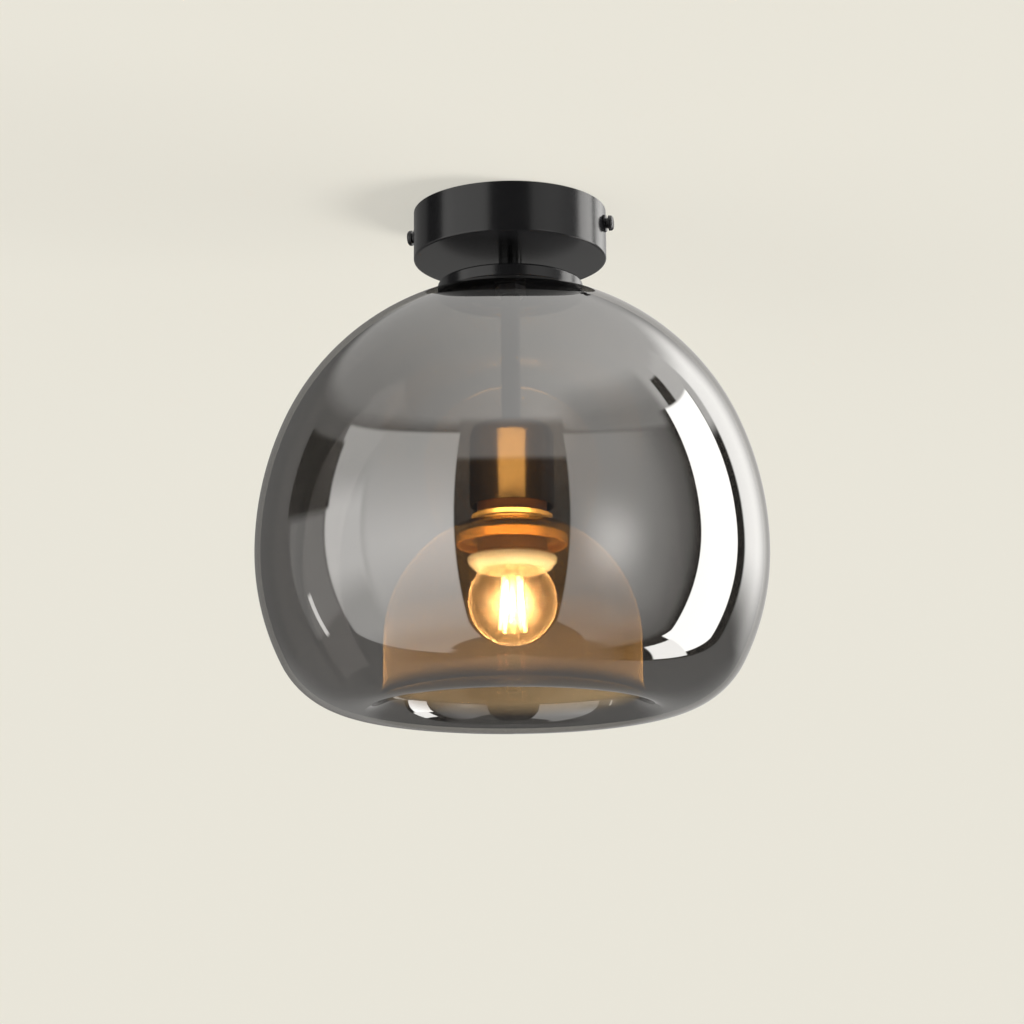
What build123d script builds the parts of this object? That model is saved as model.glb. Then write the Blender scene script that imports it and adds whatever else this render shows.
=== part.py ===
from build123d import *
import math
import os

# Semi-flush ceiling light with a folded-in glass globe. Millimetres, +Z up.
# The origin is on the ceiling plane, in the middle of the canopy, and the light hangs below it.
# The bracket's long side and the two canopy screws lie along X.

# Canopy
canopy_radius = 50.0
canopy_depth = 26.0
canopy_wall = 1.2
canopy_edge_round = 1.0

# Canopy screws and their washers
screw_drop = 9.3
screw_radius = 2.0
screw_length = 10.0
screw_head_radius = 4.0
screw_head_height = 2.3
screw_head_round = 1.5
screw_neck_radius = 2.7
screw_neck_height = 1.3
screw_slot_width = 1.1
screw_slot_depth = 1.1
washer_radius = 4.5
washer_thickness = 0.8

# Mounting bracket
bracket_sheet = 2.0
bracket_width = 22.0
ear_width = 14.0
ear_depth = 19.0
ceiling_slot_spacing = 60.0
ceiling_slot_length = 12.0
ceiling_slot_width = 5.0
cable_hole_radius = 6.0
wing_width = 32.0
wing_reach = 34.0

# Terminal block and earth
block_end = 5.0
block_depth = 16.0
block_height = 13.0
terminal_radius = 2.4
terminal_gap = 4.2
terminal_bore = 1.4
terminal_setback = 1.0
clamp_spacing = 8.0
clamp_screw_radius = 1.2
clamp_head_radius = 1.7
block_screw_radius = 1.5
block_screw_head_radius = 2.6
block_screw_head_height = 1.8
earth_screw_offset = 17.0
earth_screw_radius = 2.0
earth_screw_head_radius = 3.6
earth_screw_head_height = 2.2
earth_tag_radius = 4.0
earth_tag_sheet = 0.8
earth_tag_reach = 8.0
earth_tag_barrel_radius = 1.7

# Stem and the nuts on it
stem_radius = 5.0
stem_bore = 3.5
stem_top_reach = 4.0
stem_end_reach = 2.0
spacer_wall = 0.9
spacer_length = 13.0
nut_across_flats = 14.0
nut_height = 5.0
canopy_washer_radius = 10.0
canopy_washer_thickness = 1.0

# Glass cap and its gasket
cap_radius = 37.5
cap_depth = 6.0
cap_wall = 1.2
cap_edge_round = 1.0
cap_rim_gap = 0.6
gasket_width = 4.5
gasket_setback = 0.8

# Glass globe
globe_radius = 130.0
crown_height = 140.5
crown_angle = 66.7
bowl_depth = 81.2
corner_radius = 44.4
corner_angle = 27.2
fold_radius = 14.7
glass_wall = 3.0
dome_base_height = 35.5
top_hole_clearance = 1.5

# Lampholder
sleeve_length = 43.0
sleeve_wall = 1.0
sleeve_top = 3.0
sleeve_shoulder = 7.0
sleeve_setback = 25.5
barrel_wall = 3.0
barrel_length = 42.5
barrel_flange = 2.6
barrel_flange_height = 12.0
barrel_drop = 5.2
barrel_mouth_wall = 1.5
shell_seat_depth = 9.0
shell_seat_width = 1.65
shell_clearance = 0.9
shell_wall = 0.7
shell_length = 24.0
shell_flange = 0.8
carrier_thickness = 10.2
carrier_pocket_radius = 13.6
carrier_pocket_depth = 1.5
contact_sheet = 0.8
contact_width = 5.0
contact_leg_offset = 11.0
contact_tab_reach = 5.5
contact_dip = 1.8
side_contact_reach = 4.0
terminal_screw_offset = 8.0
terminal_screw_radius = 1.45
terminal_screw_head_radius = 2.3
terminal_screw_head_height = 1.8
terminal_screw_length = 7.0
wire_hole_offset = 4.8
wire_hole_depth = 4.0

# Rings that clamp the glass on the lampholder, and the cream collar
clamp_ring_lap = 1.4
clamp_ring_flange = 2.2
clamp_ring_spigot = 3.0
clamp_spigot_wall = 1.0
ring_gasket_thickness = 1.2
ring_gasket_step = 1.3
ring_gasket_setback = 1.8
shade_ring_radius = 28.3
shade_ring_web = 1.5
shade_ring_rim = 1.6
shade_ring_rim_height = 4.6
shade_ring_rim_round = 0.6
shade_ring_hub = 2.2
shade_ring_hub_depth = 6.5
collar_radius = 22.9
collar_brim = 1.4
collar_depth = 7.5
collar_lip_radius = 18.0
collar_lip_wall = 1.5
collar_clearance = 1.1
collar_spigot_height = 4.3

# Lamp
thread_pitch = 3.629
cap_core_radius = 12.1
cap_sheet = 0.5
cap_bead = 1.0
cap_length = 21.4
cap_thread_start = 4.2
cap_thread_end = 1.8
shell_bead = 0.75
shell_bead_depth = 0.4
shell_thread_lead = 1.5
insulator_height = 5.0
insulator_top_radius = 5.4
tip_radius = 4.9
tip_height = 1.7
bulb_radius = 22.5
bulb_collar_gap = 0.4
bulb_wall = 0.8
bulb_neck_blend = 8.0
bulb_neck_tuck = 5.0
mount_flare_height = 6.0
mount_radius = 3.2
mount_length = 11.0
post_radius = 1.1
filament_count = 4
filament_radius = 0.9
filament_top_offset = 5.2
filament_foot_offset = 7.5
filament_foot_rise = 7.4
lead_drop = 4.6
lead_radius = 0.35
support_radius = 2.0
support_height = 1.4
driver_thickness = 1.2
driver_drop = 8.0

# Wires
wire_radius = 1.0
wire_spacing = 2.6
wire_run_share = 0.45

# Clearances
thread_fit = 0.1
hole_clearance = 0.3
seat_gap = 0.1
turning_gap = 0.15
contact_gap = 0.3
ear_gap = 0.5

# Widths that follow from what fits inside, outwards from the lamp's thread
thread_crest = cap_core_radius + cap_bead
thread_turns = (cap_length - cap_thread_start - cap_thread_end) / thread_pitch
collar_bore = thread_crest + collar_clearance
shell_inner = thread_crest + shell_clearance
shell_outer = shell_inner + shell_wall
barrel_bore = shell_outer + seat_gap
shell_seat_radius = barrel_bore + shell_seat_width
barrel_radius = barrel_bore + barrel_wall
collar_seat_radius = barrel_radius - barrel_mouth_wall
collar_spigot_radius = collar_seat_radius - thread_fit
ring_bore = barrel_radius + thread_fit
clamp_spigot_radius = ring_bore + clamp_spigot_wall
neck_hole_radius = clamp_spigot_radius + hole_clearance
clamp_ring_radius = neck_hole_radius + clamp_ring_lap
ring_gasket_inner_radius = neck_hole_radius + ring_gasket_step
ring_gasket_outer_radius = shade_ring_radius - ring_gasket_setback
barrel_flange_radius = barrel_radius + barrel_flange
sleeve_inner = barrel_flange_radius + thread_fit
sleeve_radius = sleeve_inner + sleeve_wall
top_hole_radius = sleeve_radius + top_hole_clearance
spacer_radius = stem_radius + thread_fit + spacer_wall
gasket_outer_radius = cap_radius - cap_wall - gasket_setback
gasket_inner_radius = gasket_outer_radius - gasket_width
terminal_pitch = 2 * terminal_radius + terminal_gap
terminal_length = block_depth - 2 * terminal_setback
block_length = 2 * terminal_pitch + 2 * block_end

# Heights, worked out downwards from the ceiling at zero
canopy_floor_z = -canopy_depth
canopy_inner_z = canopy_floor_z + canopy_wall
canopy_nut_z = canopy_inner_z + canopy_washer_thickness
stem_top_z = canopy_nut_z + nut_height + stem_top_reach
cap_top_z = canopy_floor_z - spacer_length
cap_under_z = cap_top_z - cap_wall
cap_rim_z = cap_top_z - cap_depth

# Globe profile: each arc is tangent to the next
crown_turn = math.radians(crown_angle)
crown_sine = math.sin(crown_turn)
crown_cosine = math.cos(crown_turn)
arc_share = crown_sine * crown_cosine - (1 - crown_sine) * (1 - crown_cosine)
crown_radius = (globe_radius * crown_cosine - crown_height * (1 - crown_sine)) / arc_share
upper_radius = (crown_height * crown_sine - globe_radius * (1 - crown_cosine)) / arc_share
corner_turn = math.radians(corner_angle)
lower_radius = corner_radius + (bowl_depth - corner_radius) / math.sin(corner_turn)
bottom_radius = globe_radius - lower_radius * (1 - math.cos(corner_turn)) - corner_radius * math.cos(corner_turn)
dome_radius = bottom_radius - fold_radius
crown_fall = crown_radius - math.sqrt(crown_radius**2 - cap_radius**2)
apex_z = cap_rim_z - cap_rim_gap + crown_fall
equator_z = apex_z - crown_height
bottom_z = equator_z - bowl_depth
dome_centre_z = bottom_z + dome_base_height


def dome_height(sphere_radius, distance):
    """Height of a sphere about the dome's centre at a distance from the axis."""
    return dome_centre_z + math.sqrt(sphere_radius**2 - distance**2)


# Lampholder heights follow from where the dome's hole is
clamp_ring_under_z = dome_height(dome_radius + glass_wall, neck_hole_radius) + seat_gap
ring_gasket_top = dome_radius - seat_gap
ring_gasket_under = ring_gasket_top - ring_gasket_thickness
shade_ring_top = ring_gasket_under - seat_gap
shade_ring_rim_z = dome_height(shade_ring_top, shade_ring_radius) - shade_ring_rim_height
barrel_end_z = shade_ring_rim_z - barrel_drop
barrel_top_z = barrel_end_z + barrel_length
sleeve_end_z = barrel_end_z + sleeve_setback
sleeve_top_z = sleeve_end_z + sleeve_length
sleeve_inner_z = sleeve_top_z - sleeve_top
stem_end_z = sleeve_inner_z - nut_height - stem_end_reach
shell_seat_z = barrel_top_z - shell_seat_depth
carrier_under_z = shell_seat_z + shell_flange
carrier_top_z = carrier_under_z + carrier_thickness
pocket_z = carrier_under_z + carrier_pocket_depth
contact_low_z = carrier_under_z - contact_dip

# Lamp heights follow from the centre contact
tip_z = contact_low_z - contact_gap
insulator_top_z = tip_z - tip_height
cap_top_edge_z = insulator_top_z - insulator_height
cap_end_z = cap_top_edge_z - cap_length
collar_end_z = barrel_end_z - collar_depth
collar_lip_inner = collar_lip_radius - collar_lip_wall
bulb_centre_z = collar_end_z - math.sqrt((bulb_radius + bulb_collar_gap) ** 2 - collar_lip_inner**2)
neck_radius = cap_core_radius - cap_sheet - seat_gap
mount_top_z = cap_end_z + bulb_neck_tuck
press_end_z = cap_end_z - mount_length
filament_top_z = press_end_z - lead_drop
filament_foot_z = bulb_centre_z - bulb_radius + filament_foot_rise


def turned(*edges):
    """Solid of revolution about Z from a closed chain of edges drawn as (distance, height)."""
    return revolve(Plane.XZ * make_face(list(edges)), axis=Axis.Z)


def turned_outline(*points):
    """Solid of revolution about Z from the corners of its section, given as (distance, height)."""
    return revolve(Plane.XZ * make_face(Polyline(*points, close=True)), axis=Axis.Z)


def rod(radius, low, high, x=0.0, y=0.0):
    """Upright cylinder between two heights."""
    return Pos(x, y, low) * extrude(Circle(radius), amount=high - low)


def slab(x_low, x_high, y_low, y_high, z_low, z_high):
    """Box between two corners."""
    middle = Pos((x_low + x_high) / 2, (y_low + y_high) / 2, (z_low + z_high) / 2)
    return middle * Box(x_high - x_low, y_high - y_low, z_high - z_low)


def hex_nut(low):
    """Hexagon nut on the stem, standing on a height."""
    blank = Pos(0, 0, low) * extrude(RegularPolygon(nut_across_flats / 2, 6, major_radius=False), amount=nut_height)
    return blank - rod(stem_radius + thread_fit, low, low + nut_height)


def wire_tube(points, radius):
    """Round wire along straight runs joined by arcs as large as the runs leave room for."""
    runs = [Vector(*after) - Vector(*before) for before, after in zip(points, points[1:])]
    bends = []
    for before, after in zip(runs, runs[1:]):
        half_turn = math.radians(before.get_angle(after)) / 2
        bends.append(wire_run_share * min(before.length, after.length) / math.tan(half_turn))
    print("bend radii", [round(bend, 2) for bend in bends])
    path = FilletPolyline(*points, radius=bends)
    return sweep(Plane(origin=path @ 0, z_dir=path % 0) * Circle(radius), path=path)


def thread_bead(helix_radius, bead_radius, start_z):
    """Right-handed thread ridge of round section, wound about Z from a height upwards."""
    path = Pos(0, 0, start_z) * Helix(thread_pitch, thread_pitch * thread_turns, helix_radius)
    return sweep(Plane(origin=path @ 0, z_dir=path % 0) * Circle(bead_radius), path=path, is_frenet=True)


def bent_strip(points, sheet, width):
    """Sheet strip bent along points in the XZ plane, with mitred corners, centred on Y."""
    near = []
    far = []
    for index, point in enumerate(points):
        before = points[max(index - 1, 0)]
        after = points[min(index + 1, len(points) - 1)]
        first = Vector(point[0] - before[0], point[1] - before[1])
        second = Vector(after[0] - point[0], after[1] - point[1])
        first = first.normalized() if index > 0 else second.normalized()
        second = second.normalized() if index < len(points) - 1 else first
        normal = Vector(-first.Y - second.Y, first.X + second.X).normalized()
        mitre = sheet / 2 / normal.dot(Vector(-first.Y, first.X))
        near.append((point[0] + normal.X * mitre, point[1] + normal.Y * mitre))
        far.append((point[0] - normal.X * mitre, point[1] - normal.Y * mitre))
    outline = make_face(Polyline(*near, *reversed(far), close=True))
    return extrude(Plane.XZ * outline, amount=width / 2, both=True)


pieces = {}

# Mounting bracket: a flat strap on the ceiling with two ears bent down and a wing for the terminals
ear_outer_x = math.sqrt((canopy_radius - canopy_wall - ear_gap) ** 2 - (ear_width / 2) ** 2)
half_strap = bracket_width / 2
bracket = slab(-ear_outer_x, ear_outer_x, -ear_width / 2, ear_width / 2, -bracket_sheet, 0)
strap_half_length = ear_outer_x - 2 * bracket_sheet
bracket += slab(-strap_half_length, strap_half_length, -half_strap, half_strap, -bracket_sheet, 0)
bracket += slab(-wing_width / 2, wing_width / 2, 0, wing_reach, -bracket_sheet, 0)
for side in (-1, 1):
    ear_inner_x = ear_outer_x - bracket_sheet
    ear_middle = Pos(side * (ear_inner_x + ear_outer_x) / 2, 0, -ear_depth / 2)
    bracket += ear_middle * Box(bracket_sheet, ear_width, ear_depth)
    tapped_hole = Pos(side * ear_outer_x, 0, -screw_drop) * Rot(0, 90, 0)
    bracket -= tapped_hole * Cylinder(screw_radius + turning_gap, 4 * bracket_sheet)
    slot = SlotOverall(ceiling_slot_length, ceiling_slot_width)
    bracket -= Pos(side * ceiling_slot_spacing / 2, 0, -bracket_sheet) * extrude(slot, amount=bracket_sheet)
bracket -= rod(cable_hole_radius, -bracket_sheet, 0)
block_middle_y = wing_reach - block_depth / 2
block_screw_x = -terminal_pitch / 2
bracket -= rod(block_screw_radius + thread_fit, -bracket_sheet, 0, block_screw_x, block_middle_y)
bracket -= rod(earth_screw_radius + thread_fit, -bracket_sheet, 0, earth_screw_offset)
pieces["mounting_bracket"] = bracket

# Canopy: a plain cup against the ceiling, with a hole for the stem and one for each side screw
canopy = rod(canopy_radius, canopy_floor_z, 0)
canopy = fillet(canopy.edges().group_by(Axis.Z)[0], canopy_edge_round)
canopy -= rod(canopy_radius - canopy_wall, canopy_inner_z, 0)
canopy -= rod(stem_radius + thread_fit, canopy_floor_z, canopy_inner_z)
for side in (-1, 1):
    side_hole = Pos(side * canopy_radius, 0, -screw_drop) * Rot(0, 90, 0)
    canopy -= side_hole * Cylinder(screw_radius + hole_clearance, 8 * canopy_wall)
pieces["canopy"] = canopy

# Canopy screws: slotted pan heads on a short neck, each on a loose flat washer
washer_start_x = canopy_radius + seat_gap
neck_start_x = washer_start_x + washer_thickness + seat_gap
for side, side_name in ((1, "right"), (-1, "left")):
    outward = Pos(side * neck_start_x, 0, -screw_drop) * Rot(0, side * 90, 0)
    head = extrude(Circle(screw_head_radius), amount=screw_head_height)
    head = fillet(head.edges().group_by(Axis.Z)[-1], screw_head_round)
    slot_middle = Pos(0, 0, screw_head_height - screw_slot_depth / 2)
    head -= slot_middle * Box(2 * screw_head_radius, screw_slot_width, screw_slot_depth)
    neck = extrude(Circle(screw_neck_radius), amount=screw_neck_height)
    shank = extrude(Circle(screw_radius), amount=-screw_length)
    screw = Pos(0, 0, screw_neck_height) * head + neck + shank
    pieces["canopy_screw_" + side_name] = outward * screw
    washer = extrude(Circle(washer_radius) - Circle(screw_radius + turning_gap), amount=washer_thickness)
    washer_place = Pos(side * washer_start_x, 0, -screw_drop) * Rot(0, side * 90, 0)
    pieces["canopy_screw_washer_" + side_name] = washer_place * washer

# Terminal block: insulated body under the bracket's wing, three brass barrels and their clamp screws
block_top_z = -bracket_sheet
block_under_z = block_top_z - block_height
terminal_z = (block_top_z + block_under_z) / 2
block_front_y = wing_reach - block_depth
terminal_xs = [-terminal_pitch, 0, terminal_pitch]
clamp_ys = [block_middle_y - clamp_spacing / 2, block_middle_y + clamp_spacing / 2]
block = slab(-block_length / 2, block_length / 2, block_front_y, wing_reach, block_under_z, block_top_z)
barrels = []
clamps = []
for x in terminal_xs:
    along = Pos(x, block_middle_y, terminal_z) * Rot(90, 0, 0)
    block -= along * Cylinder(terminal_radius + thread_fit, block_depth)
    barrel = along * (Cylinder(terminal_radius, terminal_length) - Cylinder(terminal_bore, terminal_length))
    for y in clamp_ys:
        block -= rod(clamp_head_radius + hole_clearance, block_under_z, terminal_z, x, y)
        barrel -= rod(clamp_screw_radius + thread_fit, block_under_z, terminal_z, x, y)
        clamp_tip_z = terminal_z - wire_radius - thread_fit
        clamp_seat_z = terminal_z - terminal_radius - thread_fit
        clamp = rod(clamp_screw_radius, clamp_seat_z, clamp_tip_z, x, y)
        clamps.append(clamp + rod(clamp_head_radius, block_under_z + seat_gap, clamp_seat_z, x, y))
    barrels.append(barrel)
block -= rod(block_screw_radius + hole_clearance, block_under_z, block_top_z, block_screw_x, block_middle_y)
pieces["terminal_block"] = block
pieces["terminal_barrels"] = Compound(children=barrels)
pieces["terminal_clamp_screws"] = Compound(children=clamps)
block_screw = rod(block_screw_radius, block_under_z, -seat_gap, block_screw_x, block_middle_y)
head_low_z = block_under_z - block_screw_head_height
block_screw += rod(block_screw_head_radius, head_low_z, block_under_z, block_screw_x, block_middle_y)
pieces["terminal_block_screw"] = block_screw

# Earth: a ring tag held under the strap by its own screw, with a crimp barrel for the wire
tag_top_z = -bracket_sheet
tag_under_z = tag_top_z - earth_tag_sheet
tag_wire_z = tag_top_z - earth_tag_barrel_radius - seat_gap
tag_barrel_low_y = earth_tag_radius
tag = rod(earth_tag_radius, tag_under_z, tag_top_z, earth_screw_offset)
tag += slab(
    earth_screw_offset - wire_radius,
    earth_screw_offset + wire_radius,
    0,
    earth_tag_reach,
    tag_under_z,
    tag_top_z,
)
tag_along = Pos(earth_screw_offset, (tag_barrel_low_y + earth_tag_reach) / 2, tag_wire_z) * Rot(90, 0, 0)
tag += tag_along * Cylinder(earth_tag_barrel_radius, earth_tag_reach - tag_barrel_low_y)
tag -= tag_along * Cylinder(wire_radius + thread_fit, earth_tag_reach - tag_barrel_low_y)
tag -= rod(earth_screw_radius + hole_clearance, tag_under_z, tag_top_z, earth_screw_offset)
pieces["earth_tag"] = tag
earth_screw = rod(earth_screw_radius, tag_under_z, -seat_gap, earth_screw_offset)
earth_head_z = tag_under_z - earth_screw_head_height
earth_screw += rod(earth_screw_head_radius, earth_head_z, tag_under_z, earth_screw_offset)
pieces["earth_screw"] = earth_screw

# Stem: a hollow threaded rod that hangs everything from the canopy's floor
stem = rod(stem_radius, stem_end_z, stem_top_z) - rod(stem_bore, stem_end_z, stem_top_z)
pieces["stem"] = stem
washer_ring = rod(canopy_washer_radius, canopy_inner_z, canopy_nut_z)
pieces["canopy_washer"] = washer_ring - rod(stem_radius + thread_fit, canopy_inner_z, canopy_nut_z)
pieces["canopy_locknut"] = hex_nut(canopy_nut_z)
spacer = rod(spacer_radius, cap_top_z, canopy_floor_z)
pieces["stem_spacer"] = spacer - rod(stem_radius + thread_fit, cap_top_z, canopy_floor_z)

# Glass cap: a shallow cup over the globe's top hole, drawn up against the spacer by its nut
glass_cap = rod(cap_radius, cap_rim_z, cap_top_z)
glass_cap = fillet(glass_cap.edges().group_by(Axis.Z)[-1], cap_edge_round)
glass_cap -= rod(cap_radius - cap_wall, cap_rim_z, cap_under_z)
glass_cap -= rod(stem_radius + thread_fit, cap_under_z, cap_top_z)
pieces["glass_cap"] = glass_cap
pieces["cap_locknut"] = hex_nut(cap_under_z - nut_height)

# Glass gasket: a rubber ring between the cap and the crown, its underside shaped to the glass
seat_radius = crown_radius + seat_gap
crown_centre_z = apex_z - crown_radius
inner_seat = math.acos(gasket_inner_radius / seat_radius)
outer_seat = math.acos(gasket_outer_radius / seat_radius)
inner_seat_z = crown_centre_z + seat_radius * math.sin(inner_seat)
outer_seat_z = crown_centre_z + seat_radius * math.sin(outer_seat)
seat_arc = CenterArc(
    (0, crown_centre_z), seat_radius, math.degrees(inner_seat), math.degrees(outer_seat - inner_seat)
)
gasket_sides = Polyline(
    (gasket_outer_radius, outer_seat_z),
    (gasket_outer_radius, cap_under_z),
    (gasket_inner_radius, cap_under_z),
    (gasket_inner_radius, inner_seat_z),
)
pieces["glass_gasket"] = turned(seat_arc, *gasket_sides.edges())


# Glass globe: one blown shell, folded in at the bottom and up again as a dome with a neck hole.
# It is parted where its arcs meet: the crown above, the bowl below it and the dome inside the fold.
def glass_skin(depth):
    """Edges of one skin of the glass, from the top hole to the neck hole, at a depth in the wall."""
    crown_arc = crown_radius - depth
    rim_angle = math.degrees(math.acos(top_hole_radius / crown_arc))
    dome_arc = dome_radius + depth
    neck_angle = math.degrees(math.acos(neck_hole_radius / dome_arc))
    fold_z = bottom_z + fold_radius
    return [
        CenterArc((0, crown_centre_z), crown_arc, rim_angle, 90 - crown_angle - rim_angle),
        CenterArc((globe_radius - upper_radius, equator_z), upper_radius - depth, 90 - crown_angle, crown_angle - 90),
        CenterArc((globe_radius - lower_radius, equator_z), lower_radius - depth, 0, -corner_angle),
        CenterArc((bottom_radius, bottom_z + corner_radius), corner_radius - depth, -corner_angle, corner_angle - 90),
        CenterArc((bottom_radius, fold_z), fold_radius - depth, -90, -90),
        Line((dome_arc, fold_z), (dome_arc, dome_centre_z)),
        CenterArc((0, dome_centre_z), dome_arc, 0, neck_angle),
    ]


def glass_section(first, last):
    """Closed section of the wall between two arcs of its skins, counted from the top hole."""
    outer_skin = glass_skin(0)[first : last + 1]
    inner_skin = glass_skin(glass_wall)[first : last + 1]
    start_edge = Line(outer_skin[0] @ 0, inner_skin[0] @ 0)
    end_edge = Line(outer_skin[-1] @ 1, inner_skin[-1] @ 1)
    return turned(*outer_skin, *inner_skin, start_edge, end_edge)


pieces["globe_crown"] = glass_section(0, 0)
pieces["globe_bowl"] = glass_section(1, 3)
pieces["globe_dome"] = glass_section(4, 6)

# Lampholder sleeve: a deep cup with a round shoulder, tapped for the stem and locked by a nut inside
shoulder_inner = sleeve_shoulder - sleeve_top
sleeve = rod(sleeve_radius, sleeve_end_z, sleeve_top_z)
sleeve = fillet(sleeve.edges().group_by(Axis.Z)[-1], sleeve_shoulder)
hollow = rod(sleeve_inner, sleeve_end_z, sleeve_inner_z)
hollow = fillet(hollow.edges().group_by(Axis.Z)[-1], shoulder_inner)
sleeve -= hollow
sleeve -= rod(stem_radius + thread_fit, sleeve_inner_z, sleeve_top_z)
pieces["lampholder_sleeve"] = sleeve
pieces["sleeve_locknut"] = hex_nut(sleeve_inner_z - nut_height)

# Lampholder barrel: screws into the sleeve at the top and carries both clamp rings on its outside
collar_seat_z = barrel_end_z + collar_spigot_height + seat_gap
pieces["lampholder_barrel"] = turned_outline(
    (shell_seat_radius, barrel_top_z),
    (barrel_flange_radius, barrel_top_z),
    (barrel_flange_radius, barrel_top_z - barrel_flange_height),
    (barrel_radius, barrel_top_z - barrel_flange_height),
    (barrel_radius, barrel_end_z),
    (collar_seat_radius, barrel_end_z),
    (collar_seat_radius, collar_seat_z),
    (barrel_bore, collar_seat_z),
    (barrel_bore, shell_seat_z),
    (shell_seat_radius, shell_seat_z),
)

# Threaded shell: thin metal tube with a flange on the barrel's seat and a thread ridge inside
shell_end_z = shell_seat_z - shell_length
shell = rod(shell_outer, shell_end_z, carrier_under_z)
shell += rod(shell_seat_radius - seat_gap, shell_seat_z, carrier_under_z)
shell -= rod(shell_inner, shell_end_z, carrier_under_z)
cap_thread_z = cap_end_z + cap_thread_start
shell_thread_z = cap_thread_z + shell_thread_lead * thread_pitch
shell += thread_bead(shell_inner - shell_bead_depth, shell_bead, shell_thread_z)
pieces["threaded_shell"] = shell

# Contact carrier: ceramic disc on the shell's flange, pocketed underneath for the contacts
carrier = rod(shell_seat_radius - seat_gap, carrier_under_z, carrier_top_z)
carrier -= rod(carrier_pocket_radius, carrier_under_z, pocket_z)
slot_half_width = contact_width / 2 + thread_fit
slot_half_sheet = contact_sheet / 2 + thread_fit
side_contact_end = contact_leg_offset + side_contact_reach
side_contact_top_z = carrier_under_z + contact_sheet + hole_clearance
carrier -= slab(
    -side_contact_end - hole_clearance, 0, -slot_half_width, slot_half_width, carrier_under_z, side_contact_top_z
)
terminal_screws = []
tab_top_z = carrier_top_z + contact_sheet
for side in (-1, 1):
    leg_x = side * contact_leg_offset
    carrier -= slab(
        leg_x - slot_half_sheet, leg_x + slot_half_sheet, -slot_half_width, slot_half_width, pocket_z, carrier_top_z
    )
    screw_x = side * terminal_screw_offset
    screw_tip_z = tab_top_z - terminal_screw_length
    carrier -= rod(terminal_screw_radius + thread_fit, screw_tip_z, carrier_top_z, screw_x)
    carrier -= rod(
        wire_radius + hole_clearance, carrier_top_z - wire_hole_depth, carrier_top_z, screw_x, wire_hole_offset
    )
    screw = rod(terminal_screw_radius, screw_tip_z, tab_top_z, screw_x)
    screw += rod(terminal_screw_head_radius, tab_top_z, tab_top_z + terminal_screw_head_height, screw_x)
    terminal_screws.append(screw)
pieces["contact_carrier"] = carrier
pieces["contact_terminal_screws"] = Compound(children=terminal_screws)

# Contacts: bent brass strips from the terminal screws down through the carrier
tab_z = carrier_top_z + contact_sheet / 2
tongue_z = pocket_z - contact_sheet / 2 - seat_gap
dip_z = contact_low_z + contact_sheet / 2
centre_strip = bent_strip(
    [
        (contact_tab_reach, tab_z),
        (contact_leg_offset, tab_z),
        (contact_leg_offset, tongue_z),
        (tip_radius, tongue_z),
        (contact_width / 2, dip_z),
        (-contact_width / 2, dip_z),
    ],
    contact_sheet,
    contact_width,
)
side_strip = bent_strip(
    [
        (-contact_tab_reach, tab_z),
        (-contact_leg_offset, tab_z),
        (-contact_leg_offset, carrier_under_z + contact_sheet / 2),
        (-side_contact_end, carrier_under_z + contact_sheet / 2),
    ],
    contact_sheet,
    contact_width,
)
tab_hole = terminal_screw_radius + thread_fit
pieces["centre_contact"] = centre_strip - rod(tab_hole, carrier_top_z, tab_top_z, terminal_screw_offset)
pieces["side_contact"] = side_strip - rod(tab_hole, carrier_top_z, tab_top_z, -terminal_screw_offset)

# Wires: live and neutral run through the stem to the lampholder, earth runs to its tag
stem_wire_x = wire_spacing / 2
wire_start_y = block_front_y + block_depth / 4
bend_y = block_front_y - block_depth / 3
fan_z = stem_end_z - 3.5 * wire_radius
drop_z = fan_z - 4 * wire_radius
wire_end_z = carrier_top_z - wire_hole_depth + seat_gap
for name, side, terminal_x in (("live_wire", -1, terminal_xs[0]), ("neutral_wire", 1, terminal_xs[1])):
    stem_x = side * stem_wire_x
    route = [
        (terminal_x, wire_start_y, terminal_z),
        (terminal_x, bend_y, terminal_z),
        (stem_x, 0, terminal_z + wire_radius),
        (stem_x, 0, fan_z),
        (side * terminal_screw_offset, wire_hole_offset, drop_z),
        (side * terminal_screw_offset, wire_hole_offset, wire_end_z),
    ]
    pieces[name] = wire_tube(route, wire_radius)
earth_route = [
    (earth_screw_offset, tag_barrel_low_y + seat_gap, tag_wire_z),
    (earth_screw_offset, earth_tag_reach + 4 * wire_radius, tag_wire_z),
    (terminal_xs[2], bend_y, terminal_z),
    (terminal_xs[2], wire_start_y, terminal_z),
]
pieces["earth_wire"] = wire_tube(earth_route, wire_radius)

# Upper clamp ring: flange over the dome's hole with a spigot that centres the glass
clamp_ring_top_z = clamp_ring_under_z + clamp_ring_flange
clamp_spigot_z = clamp_ring_under_z - clamp_ring_spigot
pieces["upper_clamp_ring"] = turned_outline(
    (ring_bore, clamp_ring_top_z),
    (clamp_ring_radius, clamp_ring_top_z),
    (clamp_ring_radius, clamp_ring_under_z),
    (clamp_spigot_radius, clamp_ring_under_z),
    (clamp_spigot_radius, clamp_spigot_z),
    (ring_bore, clamp_spigot_z),
)


def dome_arc_edge(sphere_radius, near, far):
    """Arc about the dome's centre between two distances from the axis."""
    start = math.degrees(math.acos(near / sphere_radius))
    return CenterArc((0, dome_centre_z), sphere_radius, start, math.degrees(math.acos(far / sphere_radius)) - start)


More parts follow.
